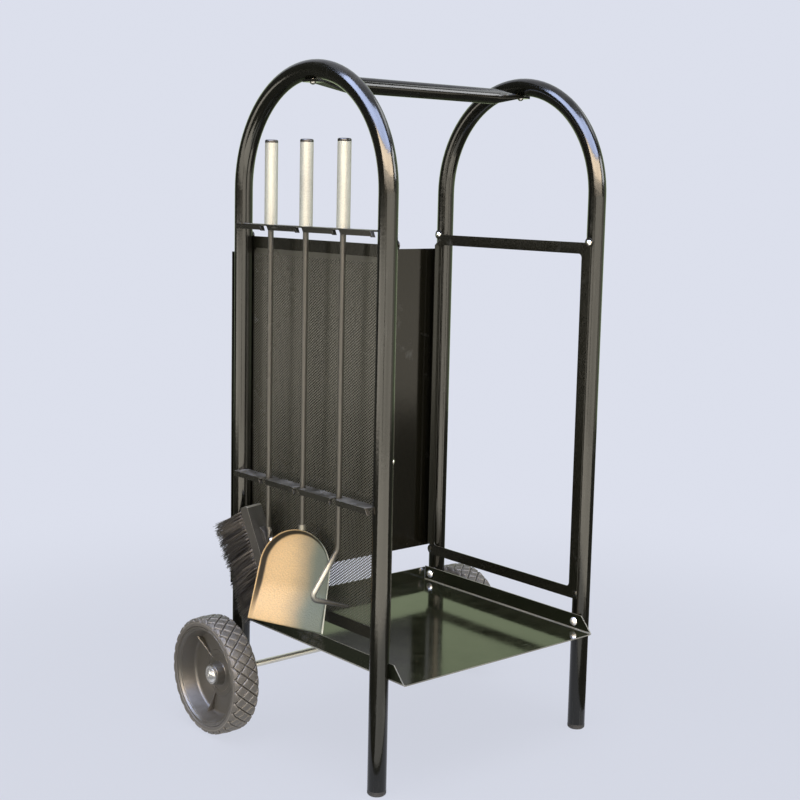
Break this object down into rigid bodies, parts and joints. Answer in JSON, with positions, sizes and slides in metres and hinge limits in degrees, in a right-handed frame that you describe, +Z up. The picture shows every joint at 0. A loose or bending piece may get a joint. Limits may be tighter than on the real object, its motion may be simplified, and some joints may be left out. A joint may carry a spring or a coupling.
{
  "type": "fireside log cart",
  "caption": "Fireside log cart: bent-tube hoops with a handle bar, folded log tray, mesh side, back panel, wheels on a rear axle, and a hanging brush, shovel and poker.",
  "frame": {"origin": "bottom centre of the bounding box, on the floor under the middle of the cart", "axes": "+Z up; the open loading side faces -Y; the back panel and the wheels are towards +Y; the tools hang on the -X side"},
  "size_m": [0.4525, 0.374, 0.826],
  "materials": {
    "powder_coat": "gloss black powder coat",
    "mesh_coat": "satin black coat",
    "foot_plastic": "matte",
    "plated_screws": "bright plated",
    "white_plated_bolts": "bright plated, nearly white",
    "axle_steel": "bright drawn rod",
    "cap_chrome": "polished",
    "hub_plastic": "semi-gloss black",
    "tyre_rubber": "solid rubber with a diamond tread",
    "handle_chrome": "bright plated",
    "cap_black": "gloss",
    "pan_metal": "satin, warm",
    "brush_wood": "dark stained and varnished",
    "bristle_black": "coarse black bristle"
  },
  "bodies": {
    "cart": {"left_hoop": "powder_coat", "right_hoop": "powder_coat", "foot_caps": "foot_plastic", "rear_leg_caps": "foot_plastic", "handle_bar": "powder_coat", "handle_bolts": "plated_screws", "left_side_frame": "powder_coat", "left_mesh_panel": "mesh_coat", "right_side_frame": "powder_coat", "frame_screws": "plated_screws", "frame_low_screws": "powder_coat", "back_panel": "powder_coat", "panel_screws": "powder_coat", "log_tray": "powder_coat", "tray_bolts": "white_plated_bolts", "upper_tool_rack": "powder_coat", "lower_tool_rack": "powder_coat", "leg_rivets": "plated_screws", "axle": "axle_steel", "axle_washers": "axle_steel", "axle_caps": "cap_chrome"},
    "left_wheel": {"left_wheel_hub": "hub_plastic", "left_tyre": "tyre_rubber"},
    "right_wheel": {"right_wheel_hub": "hub_plastic", "right_tyre": "tyre_rubber"},
    "poker": {"poker_rod": "powder_coat", "poker_handle": "handle_chrome", "poker_cap": "cap_black"},
    "shovel": {"shovel_rod": "powder_coat", "shovel_handle": "handle_chrome", "shovel_cap": "cap_black", "shovel_pan": "pan_metal", "shovel_socket": "plated_screws"},
    "brush": {"brush_rod": "powder_coat", "brush_handle": "handle_chrome", "brush_cap": "cap_black", "brush_head": "brush_wood", "brush_bristles": "bristle_black", "brush_bolt": "white_plated_bolts"}
  },
  "joints": [
    {"name": "left_wheel_spin", "type": "hinge", "parent": "cart", "child": "left_wheel", "pos_m": [-0.20825, 0.113, 0.074], "axis": [1, 0, 0], "continuous": true},
    {"name": "right_wheel_spin", "type": "hinge", "parent": "cart", "child": "right_wheel", "pos_m": [0.20825, 0.113, 0.074], "axis": [1, 0, 0], "continuous": true},
    {"name": "poker_lift_off", "type": "slide", "parent": "cart", "child": "poker", "axis": [-1, 0, 0], "range_m": [0, 0.12]},
    {"name": "shovel_lift_off", "type": "slide", "parent": "cart", "child": "shovel", "axis": [-1, 0, 0], "range_m": [0, 0.12]},
    {"name": "brush_lift_off", "type": "slide", "parent": "cart", "child": "brush", "axis": [-1, 0, 0], "range_m": [0, 0.12]}
  ]
}
